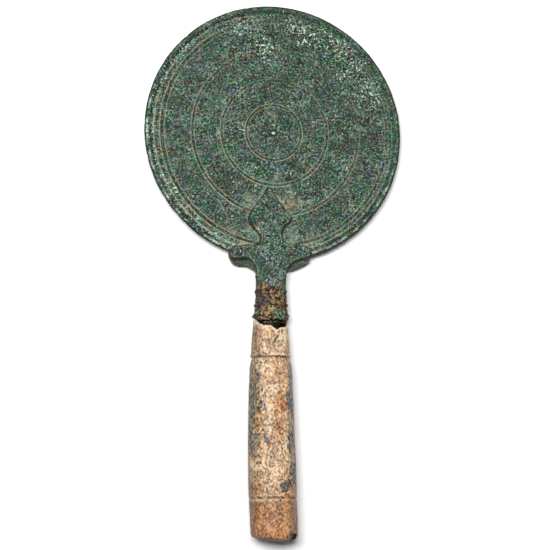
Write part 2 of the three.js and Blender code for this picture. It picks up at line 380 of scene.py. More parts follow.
def ringRelief(radius, angle, point):  # height, wear and dirt that the turned lines give
    height = wearAndHighlight = shadeAndDirt = 0.0
    patchy = clamp(0.95 + 0.8 * wander(point, 6, 21) + 0.7 * wander(point, 1.6, 22))
    broken = clamp(0.75 + 1.0 * wander(point, 4, 23) + 0.8 * wander(point, 1.2, 24))
    for ring, _, half, inner, best, least in disc["rings"]:
        away = radius - ring
        if abs(away) > half + 0.9:
            continue
        strength = least + (1 - least) * (0.5 + 0.5 * math.cos(angle - math.radians(best)))
        moat = math.exp(-((away / (half * 0.66)) ** 4))
        cut = math.exp(-(((away - half + 0.5) / 0.24) ** 2))  # deepest just inside the outer ridge
        ridge = math.exp(-(((abs(away) - half) / 0.3) ** 2)) * (1 if away > 0 else inner)
        height += strength * (disc["ridgeHigh"] * ridge - disc["grooveDeep"] * (0.5 * moat + 0.5 * cut * broken))
        wearAndHighlight = max(wearAndHighlight, 0.95 * ridge * strength * patchy)
        shadeAndDirt = max(shadeAndDirt, strength * (0.45 * moat + 0.5 * cut * broken))
    fine = math.exp(-(((radius - disc["outerLine"]) / 0.3) ** 2))
    strength = 0.15 + 0.85 * (0.5 + 0.5 * math.cos(angle - math.radians(235)))
    height += 0.16 * fine * strength
    wearAndHighlight = max(wearAndHighlight, fine * strength * patchy)
    return height, wearAndHighlight, shadeAndDirt, broken


def offCentreAt(radius):
    stops = [(0, 0.6)] + [ring[:2] for ring in disc["rings"]] + [(66.3, 0.0)]
    return between(stops, radius)


def makeDisc(mountFoot):
    back, face, rim, radius = disc["back"], disc["face"], disc["rim"], disc["radius"]
    corners = [(0, back, 3.0), (radius - 1.4, back, 0.5), (radius - 0.4, back + 0.45, 0.5), (radius, 0.3, 0.5),
               (radius - 0.4, rim - 0.55, 0.4), (radius - 1.6, rim, 0.4), (67.1, rim - 0.5, 0.4), (66.4, face - 0.1, 0.4), (65.6, face, 0.36)]
    for ring, _, half, _, _, _ in reversed(disc["rings"]):
        corners += [(ring + half + 0.5, face, 0.25), (ring - half - 0.5, face, 0.9)]
    corners += [(disc["pit"] + 0.5, face, 0.4), (disc["pit"] - 0.6, face - disc["pitDeep"], 0.5), (0, face - disc["pitDeep"], 1)]
    bm = spun(corners, disc["turns"], Vector((0, 0, 1)))
    wearAndHighlight, shadeAndDirt, crust, brown, strip, mintAndHighlight = (
        bm.verts.layers.float.new(n) for n in ("wearAndHighlight", "shadeAndDirt", "crust", "brown", "strip", "mintAndHighlight"))
    turn = math.radians(disc["longTurn"])
    stretch = (
        Matrix.Rotation(turn, 3, "Z")
        @ Matrix.Diagonal((disc["long"] / 2 / radius, disc["short"] / 2 / radius, 1))
        @ Matrix.Rotation(-turn, 3, "Z")
    )
    footTree = KDTree(len(mountFoot))
    for i, (x, y) in enumerate(mountFoot):
        footTree.insert((x, y, 0), i)
    footTree.balance()
    for vert in bm.verts:
        flat = Vector((vert.co.x, vert.co.y, 0))
        away = flat.length
        angle = math.atan2(flat.y, flat.x)
        onFace = vert.co.z > 0.35 and vert.normal.z > 0.3 or away < disc["pit"] + 0.3 and vert.co.z > 0
        point = Vector(vert.co)
        point.x += offCentreAt(away)
        point = stretch @ point
        point.x += disc["middleX"]
        spot = Vector((point.x, point.y, point.z * 0.3))
        relief = 0.10 * wander(spot, 7, 1) + 0.06 * wander(spot, 2.4, 2)
        if onFace:
            thick = max(patchAt(spot, disc["crust"], 0.5, 3), 0.5 * ease(wander(spot, 9, 4), 0.15, 0.6))
            if away > 62:
                rimCrust = (0.2 + 0.8 * ease(math.cos(angle - math.radians(195)), -0.3, 0.7)) * ease(away, 62, 66)
                thick = max(thick * (1 - 0.7 * ease(away, 64, 66)), rimCrust * (1 - 0.6 * ease(away, 66.5, 68)))
            up, lineWorn, lineDirt, broken = ringRelief(away, angle, spot)
            relief += up * (1 - 0.4 * thick) + thick * (0.07 + 0.11 * wander(spot, 1.7, 5))
            relief += 0.05 * wander(spot, 1.2, 6) - 0.16 * spots(spot, 2.6, 0.3, 1) + 0.10 * spots(spot, 2.1, 0.25, 2)
            for x, y, size in disc["warts"]:
                near = math.hypot(spot.x - x, spot.y - y) / size
                if near < 1:
                    relief += 0.3 * hump(near, 1) - 0.3 * hump(near, 0.5)
                    thick = max(thick, 1.2 * hump(near - 0.6, 0.45))
            vert[wearAndHighlight] = max(lineWorn, 0.4 * patchAt(spot, disc["tan"], 0.9, 8) * clamp(0.6 + 1.2 * wander(spot, 1.6, 15)))
            vert[shadeAndDirt] = lineDirt
            vert[crust] = thick
            vert[brown] = patchAt(spot, disc["brown"], 0.5, 9)
            if away > 64:
                upperRight = ease(math.cos(angle - math.radians(35)), 0.3, 0.8)
                vert[strip] = max(ease(away, 67.0, 68.0) * clamp(0.6 + 1.2 * wander(spot, 5, 27)), 0.8 * upperRight * ease(away, 64, 66))
                dip = math.exp(-(((away - 66.8) / 0.45) ** 2)) * (0.35 + 0.65 * (1 - upperRight)) * broken
                # the rim's outer wall is darkened as painted shade
                shaded = 0.9 * ease(away, 69.0, 69.6)
                vert[shadeAndDirt] = max(vert[shadeAndDirt], 0.85 * dip, shaded)
                # mint streaks along the rim, strongest on its lower-left side: partly worn metal, partly painted
                # highlight
                facing = 0.15 + 0.85 * ease(math.cos(angle - math.radians(225)), 0.1, 0.8)
                facing = max(facing, 0.7 * ease(math.cos(angle - math.radians(310)), 0.7, 0.95))
                streak = clamp(1.8 * wander(Vector((angle * 20, away * 0.7, 0)), 1.0, 25) + 0.9 * wander(spot, 1.1, 26))
                vert[mintAndHighlight] = facing * streak * math.exp(-(((away - 68.5) / 0.5) ** 2))
            if spot.y < -22 and abs(spot.x) < 32:
                edge = footTree.find((spot.x, spot.y, 0))[2]
                # a dark line round the mount's foot on the disc: painted shade in the seam, with dark staining
                vert[shadeAndDirt] = max(vert[shadeAndDirt], 1.2 * math.exp(-((edge / 0.85) ** 2)) * clamp(0.8 + 0.6 * wander(spot, 5, 16)))
                vert[wearAndHighlight] = max(vert[wearAndHighlight], 0.8 * math.exp(-(((edge - 1.6) / 0.5) ** 2)) * clamp(0.5 + 1.3 * wander(spot, 4, 12)))
            if away < disc["pit"]:
                # the pit's wall is darkened as painted shade; its middle is filled with pale soil
                vert[shadeAndDirt] = 0.9 * hump(away - disc["pit"] + 0.4, 0.8)
                vert[wearAndHighlight] = hump(away, 1.6)
                vert[mintAndHighlight] = 0.9 * hump(away, 1.4)
        else:
            relief += 0.05 * wander(spot, 1.4, 6)
            # the rim's outer wall is darkened as painted shade
            vert[shadeAndDirt] = 0.9 * ease(away, 69.0, 69.6) * ease(vert.co.z, -0.4, 0.3)
            vert[crust] = 0.3
            vert[brown] = 0.4 * ease(wander(spot, 12, 9), 0, 0.5)
        point += (stretch @ vert.normal).normalized() * relief
        if away > 67.5:  # worn and nicked edge
            inward = 0.10 * wander(spot, 3.1, 13) - 0.45 * ease(wander(spot, 4.5, 14), 0.3, 0.6)
            point += flat.normalized() * inward * ease(away, 67.5, 69.5)
        vert.co = point
    return bm


# Mount: leaf, arms, neck and tang in one casting

mount = {
    # The edge of its face, from the leaf's tip round the right side to the neck: x, y, reach of the flank below it
    "right": [(-1.0, -30.7, 0.3), (2.2, -35.7, 0.4), (6.1, -41.1, 0.4), (9.1, -45.1, 0.5), (10.6, -46.9, 0.7), (10.2, -48.6, 0.7),
              (7.8, -51.1, 0.6), (6.0, -53.9, 0.5), (5.5, -56.8, 0.5), (6.4, -59.6, 0.4), (8.9, -61.7, 0.4), (13.6, -62.4, 0.4),
              (18.7, -62.9, 0.5), (20.7, -64.6, 0.7), (21.0, -67.2, 0.9), (19.0, -68.8, 2.8), (15.5, -69.4, 4.0), (12.6, -70.5, 4.0),
              (10.6, -72.0, 3.3), (9.0, -74.0, 1.6), (7.9, -76.6, 0.5), (7.2, -79.6, 0.1)],
    # and from the neck up the left side
    "left": [(-7.2, -79.6, 0.1), (-7.3, -76.6, 0.7), (-8.0, -73.9, 1.8), (-9.3, -71.6, 3.0), (-11.4, -69.4, 3.9), (-13.8, -68.5, 4.1),
             (-16.4, -68.9, 3.8), (-20.0, -68.8, 3.0), (-21.8, -67.4, 1.1), (-21.9, -65.2, 0.8), (-20.2, -63.4, 0.6), (-16.7, -62.7, 0.5),
             (-12.0, -62.4, 0.5), (-8.6, -62.0, 0.6), (-6.0, -60.4, 0.8), (-4.9, -58.0, 1.1), (-5.7, -55.7, 1.5), (-8.2, -52.4, 1.9),
             (-10.5, -49.0, 2.2), (-11.0, -46.6, 2.0), (-10.2, -43.8, 1.1), (-5.3, -37.0, 0.4)],
    "tipHigh": 2.5,
    "rise": 0.035,
    "edgeRound": 0.5,
    "lip": -2.6,
    "back": -4.4,
    "voxel": 0.3,
    "neckRings": [-86.9, -94.4],
    "neckEnd": -103.3,
    "neckHalf": 8.4,
    "tangEnd": -132.0,
    "nubs": [(-9.1, -87.4, 1.0, 0.55), (-9.2, -94.6, 1.1, 0.6), (-9.3, -97.3, 0.9, 0.9), (-9.8, -100.4, 1.5, 1.1),
             (8.7, -87.2, 0.9, 0.3), (8.9, -94.6, 1.0, 0.4), (9.3, -100.0, 1.2, 0.6),
             (-22.4, -71.6, 1.5, 0.5), (20.9, -70.2, 1.3, 0.6), (-21.5, -67.0, 1.3, 0.35)],  # x, y, size, height
    # coloured places in the neck's crust: x, y, radius
    "purple": [(-5.4, -89.6, 3.2), (-3.6, -91.6, 3.4), (-6.0, -93.0, 2.2)],
    # three of the yellow places, at (1.0, -93.4), (3.7, -93.8) and (0.0, -89.6), are painted glints; the rest is yellow
    # crust
    "yellow": [(0.3, -96.2, 1.9), (1.5, -98.3, 0.9), (1.0, -93.4, 1.2), (3.7, -93.8, 1.0), (0.0, -89.6, 0.8)],
    "verdigris": [(4.6, -98.8, 2.2), (5.4, -101.2, 2.0), (2.2, -102.2, 1.6), (5.6, -90.4, 1.5), (-7.6, -98.7, 1.6)],
    "ochre": [(-5.6, -85.4, 2.4), (1.8, -88.1, 2.6), (4.8, -85.2, 1.8), (-3.4, -98.0, 3.4), (5.8, -94.6, 2.4)],
}


def mountOutline():
    return smoothLine(mount["right"] + mount["left"], 4)


def mountPlate(outline):  # leaf and arms, right down through the disc
    bm = bmesh.new()
    station = bm.verts.layers.int.new("station")
    side = bm.verts.layers.float.new("side")
    ring = []
    for i, (x, y, _) in enumerate(outline):
        vert = bm.verts.new((x, y, 0))
        vert[station] = i
        ring.append(vert)
    floor = bm.faces.new(ring)
    for level in (0.04, 0.12, 0.25, 0.4, 0.55, 0.7, 0.85, 1.0, 2.0):
        grown = bmesh.ops.extrude_face_region(bm, geom=[floor])["geom"]
        floor = next(item for item in grown if isinstance(item, bmesh.types.BMFace))
        for vert in floor.verts:
            vert[side] = level
    count = len(outline)
    for vert in bm.verts:
        i, s = vert[station], vert[side]
        x, y, reach = outline[i]
        before, after = outline[i - 1], outline[(i + 1) % count]
        out = Vector((before.y - after.y, after.x - before.x)).normalized()
        below = ease(-y, 65.5, 68.5)  # the arms' lower sides and ends reach past the disc
        if below > 0.01 and reach > 1.2:
            out = out.lerp(Vector((0, -1)), 0.5).normalized()
        top = mount["tipHigh"] + mount["rise"] * (-30.3 - y)
        foot = 0.3 + (mount["lip"] - 0.3) * below
        hollow = 1 - (1 - min(s, 1)) ** (1 + 1.0 * below)
        sideways = min(s, 1) ** (1 + 0.9 * below)
        height = top + (foot - top) * hollow
        if s == 0:
            sideways = -mount["edgeRound"] / max(reach, 0.3)
        elif s < 0.1:
            sideways = 0.0
            height = top - 0.15
        elif s > 1:
            height = mount["back"]
        vert.co = (x + out.x * reach * sideways, y + out.y * reach * sideways, height)
    bmesh.ops.recalc_face_normals(bm, faces=bm.faces)
    return bm


def cutAway(bm, cutter):
    mesh = bpy.data.meshes.new("cutter")
    cutter.to_mesh(mesh)
    cutter.free()
    tool = bpy.data.objects.new("cutter", mesh)
    bpy.context.scene.collection.objects.link(tool)
    bm = withModifiers(bm, ("BOOLEAN", {"operation": "DIFFERENCE", "solver": "MANIFOLD", "object": tool}))
    bpy.data.objects.remove(tool)
    bpy.data.meshes.remove(mesh)
    return bm


def discSpace():
    radius, sunk = disc["radius"], 0.25  # the casting goes a hair into the disc, so that no gap shows
    bm = spun([(0, disc["back"], 80), (radius - sunk, disc["back"], 80), (radius - sunk, disc["rim"] - 0.6, 80),
               (68.4, disc["rim"] - sunk, 80), (66.3, disc["face"] - sunk, 80), (0, disc["face"] - sunk, 80)], 160, Vector((0, 0, 1)))
    turn = math.radians(disc["longTurn"])
    bmesh.ops.rotate(bm, verts=bm.verts, matrix=Matrix.Rotation(-turn, 3, "Z"), cent=(0, 0, 0))
    bmesh.ops.scale(bm, verts=bm.verts, vec=(disc["long"] / 2 / radius, disc["short"] / 2 / radius, 1))
    bmesh.ops.rotate(bm, verts=bm.verts, matrix=Matrix.Rotation(turn, 3, "Z"), cent=(0, 0, 0))
    bmesh.ops.translate(bm, verts=bm.verts, vec=(disc["middleX"], 0, 0))
    return bm


def behindDisc():
    bm = bmesh.new()
    bmesh.ops.create_cube(bm, size=1)
    bmesh.ops.scale(bm, verts=bm.verts, vec=(80, 60, 20))
    bmesh.ops.translate(bm, verts=bm.verts, vec=(0, -32, disc["back"] - 10))
    return bm


def mountNeck():
    half, end = mount["neckHalf"], mount["neckEnd"]
    upper, lower = mount["neckRings"]
    corners = [(0, mount["tangEnd"]), (3.0, mount["tangEnd"]), (3.3, mount["tangEnd"] + 0.6), (5, end + 0.3), (half - 0.8, end + 0.6),
               (half + 0.4, end + 0.3), (half + 1.0, end + 1.3), (half + 0.9, end + 3.2), (half + 0.3, end + 5.6),
               (half + 0.1, lower - 0.9), (half + 0.55, lower), (half, lower + 0.9), (half - 0.1, (upper + lower) / 2),
               (half, upper - 0.8), (half + 0.35, upper), (half - 0.1, upper + 0.8), (half - 0.35, -83.5), (half - 0.15, -80.1),
               (half - 0.45, -79.5), (half - 0.3, -78.9), (half - 1.0, -77.0), (half - 2.2, -74.5), (half - 4.4, -71.6), (0, -71.3)]
    bm = spun([(r, y, 1.5) for r, y in corners], 96, Vector((0, 1, 0)))
    for vert in bm.verts:
        if vert.co.y > end - 0.1:
            down = clamp((-70 - vert.co.y) / (-70 - end))
            vert.co.z *= 0.60 + 0.30 * down
    return bm


def makeMount():
    outline = mountOutline()
    plate, whole = mountPlate(outline), mountNeck()
    neck = bpy.data.meshes.new("neck")
    whole.to_mesh(neck)
    whole.free()
    plate.from_mesh(neck)
    bpy.data.meshes.remove(neck)
    bm = withModifiers(plate, ("REMESH", {"mode": "VOXEL", "voxel_size": mount["voxel"]}))
    for _ in range(2):
        bmesh.ops.smooth_vert(bm, verts=bm.verts, factor=0.5, use_axis_x=True, use_axis_y=True, use_axis_z=True)
    bm = cutAway(cutAway(bm, discSpace()), behindDisc())
    bm.normal_update()
    wearAndHighlight, shadeAndDirt, crust, brown, neckCrust = (bm.verts.layers.float.new(n) for n in ("wearAndHighlight", "shadeAndDirt", "crust", "brown", "neckCrust"))
    edgeTree = KDTree(len(outline))
    for i, corner in enumerate(outline):
        edgeTree.insert((corner.x, corner.y, 0), i)
    edgeTree.balance()
    coloured = {name: bm.verts.layers.float.new(name) for name in ("purple", "yellow", "verdigris", "ochre")}
    moved = []
    for vert in bm.verts:
        point = vert.co
        rusty = ease(-point.y + 2.5 * wander(point, 4, 31) - 1.5 * ease(point.x, 0, 6), 82, 88)
        onTang = ease(-point.y, 103.6, 104.4)
        relief = 0.10 * wander(point, 6, 32) + 0.07 * wander(point, 2.3, 33) + 0.04 * wander(point, 1.0, 34)
        relief -= 0.14 * spots(point, 2.4, 0.3, 3)
        if rusty > 0 and onTang < 1:
            flakes = noise.cell(noise.voronoi(point / Vector((3.4, 2.6, 3.4)).length * 1.9)[1][0] * 13.7)
            relief += rusty * (0.16 * flakes + 0.26 * wander(point, 1.5, 35) + 0.18 * wander(point, 0.8, 36))
            if point.z > -2:
                for name, layer in coloured.items():
                    vert[layer] = patchAt(point, mount[name], 0.7, 70 + len(name))
        push = vert.normal * relief * (1 - 0.6 * onTang)
        for x, y, size, high in mount["nubs"]:
            near = math.hypot(point.x - x, point.y - y) / size
            if near < 1 and abs(point.z) < 3.4:
                side = Vector((1 if x > 0 else -1, -0.25, 0))
                push += side * high * hump(near, 1) * (1 - 0.3 * abs(point.z) / 3.4)
        corner = ease(-point.x, 5.5, 9.5) * ease(-point.y, 100.8, 103.6) * (1 - onTang)  # broken off below left
        push.x += 1.7 * corner
        push.y += 0.7 * corner
        moved.append(push)
        # surfaces turned sideways, the flanks and the neck's sides, are darkened as painted shade
        sideways = ease(1 - vert.normal.z, 0.25, 0.75)
        vert[neckCrust] = rusty
        vert[crust] = 0.55 * ease(wander(point, 7, 37), 0.0, 0.5)
        vert[brown] = 0.5 * ease(wander(point, 8, 38), 0.1, 0.5)
        # the tang, hidden in the grip's socket, is darkened fully as painted shade
        vert[shadeAndDirt] = 0.75 * sideways * (1 - 0.4 * rusty) * (0.75 + 0.4 * wander(point, 3, 39)) + 1.0 * onTang
        bowed = point.y - 0.5 * wander(point, 4, 42) + 0.4 * hump(point.x + 4, 5)
        ringed = max(math.exp(-(((bowed - y) / 0.38) ** 2)) for y in (-79.5, mount["neckRings"][0] + 0.4, mount["neckRings"][1] - 0.2))
        vert[shadeAndDirt] = max(vert[shadeAndDirt], (0.5 + 0.4 * rusty) * ringed * clamp(0.8 + wander(point, 2, 40)))
        # a light line along the face's edges, on surfaces that face up: partly wear, partly painted highlight
        if point.y > -79:
            edge = edgeTree.find((point.x, point.y, 0))[2]
            facing = ease(vert.normal.z, 0.55, 0.9)
            vert[wearAndHighlight] = 0.75 * math.exp(-((edge / 0.7) ** 2)) * facing * clamp(0.45 + 1.4 * wander(point, 3.4, 41))
        # the arms' lower lip: a faint painted highlight, its own brown colour and a mild darkening
        lip = ease(-point.z, 0.6, 2.2) * ease(vert.normal.z, 0.1, 0.5) * ease(-point.y, 66, 68) * (1 - ease(-point.y, 78, 80))
        vert[wearAndHighlight] = max(vert[wearAndHighlight], 0.25 * lip)
        vert[brown] = max(vert[brown], 2.2 * lip)
        vert[shadeAndDirt] = max(vert[shadeAndDirt] * (1 - 0.5 * lip), 0.35 * lip)
    for vert, push in zip(bm.verts, moved):
        vert.co += push
    return bm, outline


def mountMaterial(name, look):
    material, tree, shader, where = newMaterial(name)
    colour, fine, second = patinaColour(tree, where, look)
    rusty = mask(tree, "neckCrust")
    flaky = grain(tree, where, 700, 3, 0.6, shift=(5.1, 0.4, 2.2))
    browns = shades(tree, flaky, [
        (0.34, paint(8, 6, 4)), (0.43, paint(34, 26, 19)), (0.5, paint(66, 52, 38)), (0.57, paint(100, 80, 58)), (0.67, paint(176, 158, 128)),
    ])
    spread = only(tree, plus(tree, rusty, times(tree, plus(tree, grain(tree, where, 260, 3, 0.6, shift=(1.2, 3.4, 0.8)), -0.5), 2.2)), 0.35, 0.6)
    colour = blend(tree, times(tree, spread, rusty), colour, browns)
    ochres = shades(tree, flaky, [(0.36, paint(34, 22, 14)), (0.5, paint(100, 70, 44)), (0.64, paint(168, 130, 90))])
    colour = blend(tree, times(tree, mask(tree, "ochre"), only(tree, second, 0.36, 0.52)), colour, ochres)
    greens = [(0.34, paint(8, 34, 24)), (0.5, paint(38, 84, 64)), (0.66, paint(120, 176, 142))]
    purples = shades(tree, flaky, [(0.36, paint(24, 20, 21)), (0.5, paint(58, 51, 52)), (0.64, paint(98, 90, 90))])
    colour = blend(tree, times(tree, mask(tree, "purple"), only(tree, fine, 0.3, 0.5)), colour, purples)
    # yellow crust, with small painted glints
    colour = blend(tree, times(tree, mask(tree, "yellow"), only(tree, fine, 0.4, 0.55)), colour, paint(160, 142, 92))
    colour = blend(tree, times(tree, mask(tree, "verdigris"), only(tree, second, 0.42, 0.54)), colour, shades(tree, fine, greens))
    tree.links.new(shadedAndSoiled(tree, colour, look), shader.inputs["Base Color"])
    patinaFinish(tree, shader, where, look, fine, second)
    return material


# Bone grip

grip = {
    "top": -103.1,
    "end": -219.0,
    "halves": [(-103.1, 9.6), (-106, 9.9), (-114, 10.6), (-122.4, 11.1), (-124.2, 11.1), (-133, 11.6), (-147, 12.15),
               (-162, 12.6), (-178, 12.95), (-197.3, 13.1), (-199.1, 13.2), (-210, 13.15), (-219, 12.9)],
    "depth": 0.985,
    "bend": 1.6,
    "wall": 2.1,
    "socketDeep": 14.0,
    "turns": 220,
    # how the front of the mouth is broken, from left to right: x, y
    "mouth": [(-10.5, -105.6), (-9.6, -104.9), (-8.6, -103.9), (-7.3, -104.2), (-5.4, -105.8), (-3.8, -106.4), (-0.5, -106.5),
              (1.1, -107.5), (3.0, -108.6), (4.7, -107.7), (7.3, -107.1), (8.6, -106.4), (9.4, -104.4), (10.5, -103.6)],
    # how far the lower end reaches, from left to right
    "foot": [(-13, -217.2), (-11.8, -217.8), (-8, -218.7), (-3.7, -219.4), (2.8, -220.0), (8.4, -220.2), (14.1, -219.4), (16, -219.0)],
    "grooves": [  # y, half width above its middle and below, depth
        (-123.0, 0.45, 1.3, 0.85),
        (-198.0, 0.3, 0.7, 0.75),
    ],
    # directions of the corners between its facets, in degrees from straight up, at the mouth and at the pommel
    "cornersTop": [-100, -29, 48, 118, 180],
    "cornersEnd": [-115, -50, 39, 105, 180],
    "facetFlat": 0.5,
    "paleAndHighlight": [(-6.5, -128, 3.5), (-7, -181, 4), (3, -184, 4), (5.5, -172, 3.5), (-2, -150, 3), (7, -112, 3.5), (1, -140, 3)],
    "warm": [(-5.8, -112, 2.6), (-1.6, -115, 2), (5, -148, 4), (4, -160, 3.5), (-1, -136, 3), (9, -199, 4), (-2, -170, 2.5), (-9, -194, 4)],
    "stains": [(-3, -168, 3.5), (-1, -176, 3), (9.5, -189, 4.5), (7.5, -193, 3), (-8.5, -134, 4), (-5, -150, 4), (-7, -163, 4)],
}


def gripHalfAt(y):
    return between([(-a, b) for a, b in grip["halves"]], -y)


def facetCut(turn, y):  # share of the radius that the flat between two corners takes off
    down = clamp((grip["top"] - y) / (grip["top"] - grip["end"]))
    corners = [math.radians(a + (b - a) * down) for a, b in zip(grip["cornersTop"], grip["cornersEnd"])]
    corners.append(corners[0] + math.tau)
    if turn < corners[0]:
        turn += math.tau
    for first, last in zip(corners, corners[1:]):
        if turn <= last:
            return math.cos((last - first) / 2) / math.cos(turn - (first + last) / 2) - 1
    return 0.0


def makeGrip():
    top, end, wall = grip["top"], grip["end"], grip["wall"]
    outside = [(gripHalfAt(y), y, 0.5) for y in (end + 1.2, -210, -201, -195, -178, -162, -147, -133, -126, -120, -114, -106, top + 0.5)]
    corners = [(0, end, 1.2), (gripHalfAt(end) - 1.4, end, 0.5), (gripHalfAt(end) - 0.35, end + 0.4, 0.5)] + outside + [
        (9.2, top, 0.4), (9.6 - wall, top - 0.2, 0.5), (6.6, top - 5, 0.8), (5.7, top - grip["socketDeep"], 1.5), (0, top - grip["socketDeep"], 2)]
    bm = spun(corners, grip["turns"], Vector((0, 1, 0)))
    masks = {name: bm.verts.layers.float.new(name) for name in ("shadeAndDirt", "stain", "moss", "warm", "paleAndHighlight", "soilAndEdgeShade")}
    for vert in bm.verts:
        point = Vector(vert.co)
        radius = math.hypot(point.x, point.z)
        half = gripHalfAt(point.y)
        turn = math.atan2(point.x, point.z)  # 0 on top, + to the right
        around = Vector((point.x, 0, point.z)) / max(radius, 0.01)
        bare = Vector((around.x * 10, point.y, around.z * 10))
        shape = 0.0
        outer = radius > half - 0.9
        if outer:
            ends = max(ease(point.y, -126, -118), ease(-point.y, 190, 202))
            shape += half * facetCut(turn, point.y) * grip["facetFlat"] * (0.65 + 0.35 * ends)
            shape += 0.4 * ease(point.y, -120.8, -121.8) * (1 - ease(point.y, -119, -108))  # flared just above the groove
            shape -= 0.35 * ease(point.y, -128, -124.5) * (1 - ease(point.y, -122.6, -122))  # and narrow below it
            shape += 0.14 * wander(bare, 8, 41) + 0.08 * wander(Vector((bare.x, bare.y * 0.4, bare.z)), 2.2, 42)
            shape += 0.06 * wander(bare, 1.1, 43)
            for y, above, below, deep in grip["grooves"]:
                away = point.y - y - 0.45 * wander(bare, 4, int(-y)) - 0.2 * wander(bare, 1.5, int(-y) + 1)
                wide = above if away > 0 else below * (0.8 + 0.5 * wander(bare, 3, int(-y) + 2))
                shape -= deep * math.exp(-((away / wide) ** 2)) * (0.9 + 0.5 * wander(bare, 4, int(-y) + 3))
            shape -= 0.35 * spots(Vector((bare.x, bare.y * 0.6, bare.z)), 2.3, 0.12, 6)  # pores
        point += around * shape
        # broken mouth
        above = ease(point.y, top - 11, top)
        if above > 0:
            front = ease(point.z, -2.5, 2.5)
            lost = between(grip["mouth"], point.x) - top
            point.y += above * (lost * front - 0.5 * (1 - front) + 0.30 * wander(bare, 2.2, 50) * above)
        # uneven lower end
        low = ease(-point.y, 212, 219)
        if low > 0:
            goal = between(grip["foot"], point.x + 1.5)
            point.y += low * ((goal - end) * ease(point.z, -14, 6) + 0.25 * wander(bare, 3, 51))
            point.y += -0.9 * low * hump(radius, 14) * (vert.normal.y < -0.5)
        chip = ease(point.x, 7.6, 9.2) * ease(-point.y, 216.6, 217.6) * ease(point.z, 2.0, 5.0)
        point.z -= 3.2 * chip
        point.y += 1.0 * chip
        point.z *= grip["depth"]
        sideways = point.x / half
        point.x += grip["bend"] * clamp((top - point.y) / (top + 218.2)) ** 3
        vert.co = point
        gripMasks(vert, masks, sideways, outer, chip)
    return bm


def gripMasks(vert, masks, sideways, outer, chip):  # sideways goes from -1 on the left to 1 on the right
    point = vert.co
    y = -point.y
    along = Vector((point.x, point.y * 0.4, point.z))
    inside = y < 118 and not outer
    shadeAndDirt = 0.0
    # grooves darken with dirt and painted shade
    for middle, above, below, _ in grip["grooves"]:
        away = point.y - middle - 0.1
        shadeAndDirt = max(shadeAndDirt, math.exp(-((away / (0.55 if middle > -150 else 0.4)) ** 2)) * clamp(0.75 + 0.9 * wander(along, 3, 56)))
    # inside the socket, in the chip and on the lower end face the bone is darkened fully as painted shade
    if inside or chip > 0.3 or y > 217.5 and not outer:
        shadeAndDirt = 1.0
    vert[masks["shadeAndDirt"]] = shadeAndDirt
    left, right = ease(-sideways, 0.3, 0.9), ease(sideways, 0.4, 0.95)
    onShaft = ease(y, 124, 136) * (1 - ease(y, 192, 199))
    onPommel = ease(y, 197, 200)
    # soil browns the left side and, less, the right; both outermost edges are darkened further as painted shade
    soilAndEdgeShade = left * (0.8 - 0.1 * onPommel) + right * (0.15 + 0.35 * onShaft + 0.35 * onPommel) + 0.12 * ease(y, 168, 190)
    soilAndEdgeShade += 0.25 * ease(abs(sideways), 0.85, 1)
    vert[masks["soilAndEdgeShade"]] = clamp(soilAndEdgeShade * (1 + 0.5 * wander(along, 3.5, 57)))
    stain = max(
        ease(-sideways, 0.45, 0.85) * ease(y, 126, 131) * (1 - ease(y, 166, 182)),
        0.5 * ease(-sideways, 0.0, 0.5) * ease(y, 128, 134) * (1 - ease(y, 150, 156)),
        ease(sideways, 0.5, 0.85) * ease(y, 126, 136) * (1 - ease(y, 190, 196)),
        0.9 * patchAt(point, grip["stains"], 0.6, 60),
        0.12 * onShaft,
    )
    vert[masks["stain"]] = stain * clamp(0.85 + 0.8 * wander(along, 3.5, 61))
    vert[masks["moss"]] = left * ease(y, 122, 128) * (1 - ease(y, 166, 184)) * clamp(0.8 + 0.8 * wander(along, 4, 62))
    vert[masks["warm"]] = max(onPommel, 0.7 * patchAt(point, grip["warm"], 0.8, 63))
    # pale patches are the bone's own colour; the light lines along the broken mouth and beside the grooves are painted
    # highlight
    rim = between(grip["mouth"], point.x) - point.y
    vert[masks["paleAndHighlight"]] = max(
        0.8 * math.exp(-((rim / 1.3) ** 2)) * (point.z > 0 and outer),
        0.55 * patchAt(point, grip["paleAndHighlight"], 0.8, 64),
        0.6 * math.exp(-(((y - 121.6) / 0.7) ** 2)) * ease(sideways, -0.5, 0.1) * outer,
        0.3 * math.exp(-(((y - 199.3) / 0.7) ** 2)) * outer,
    )


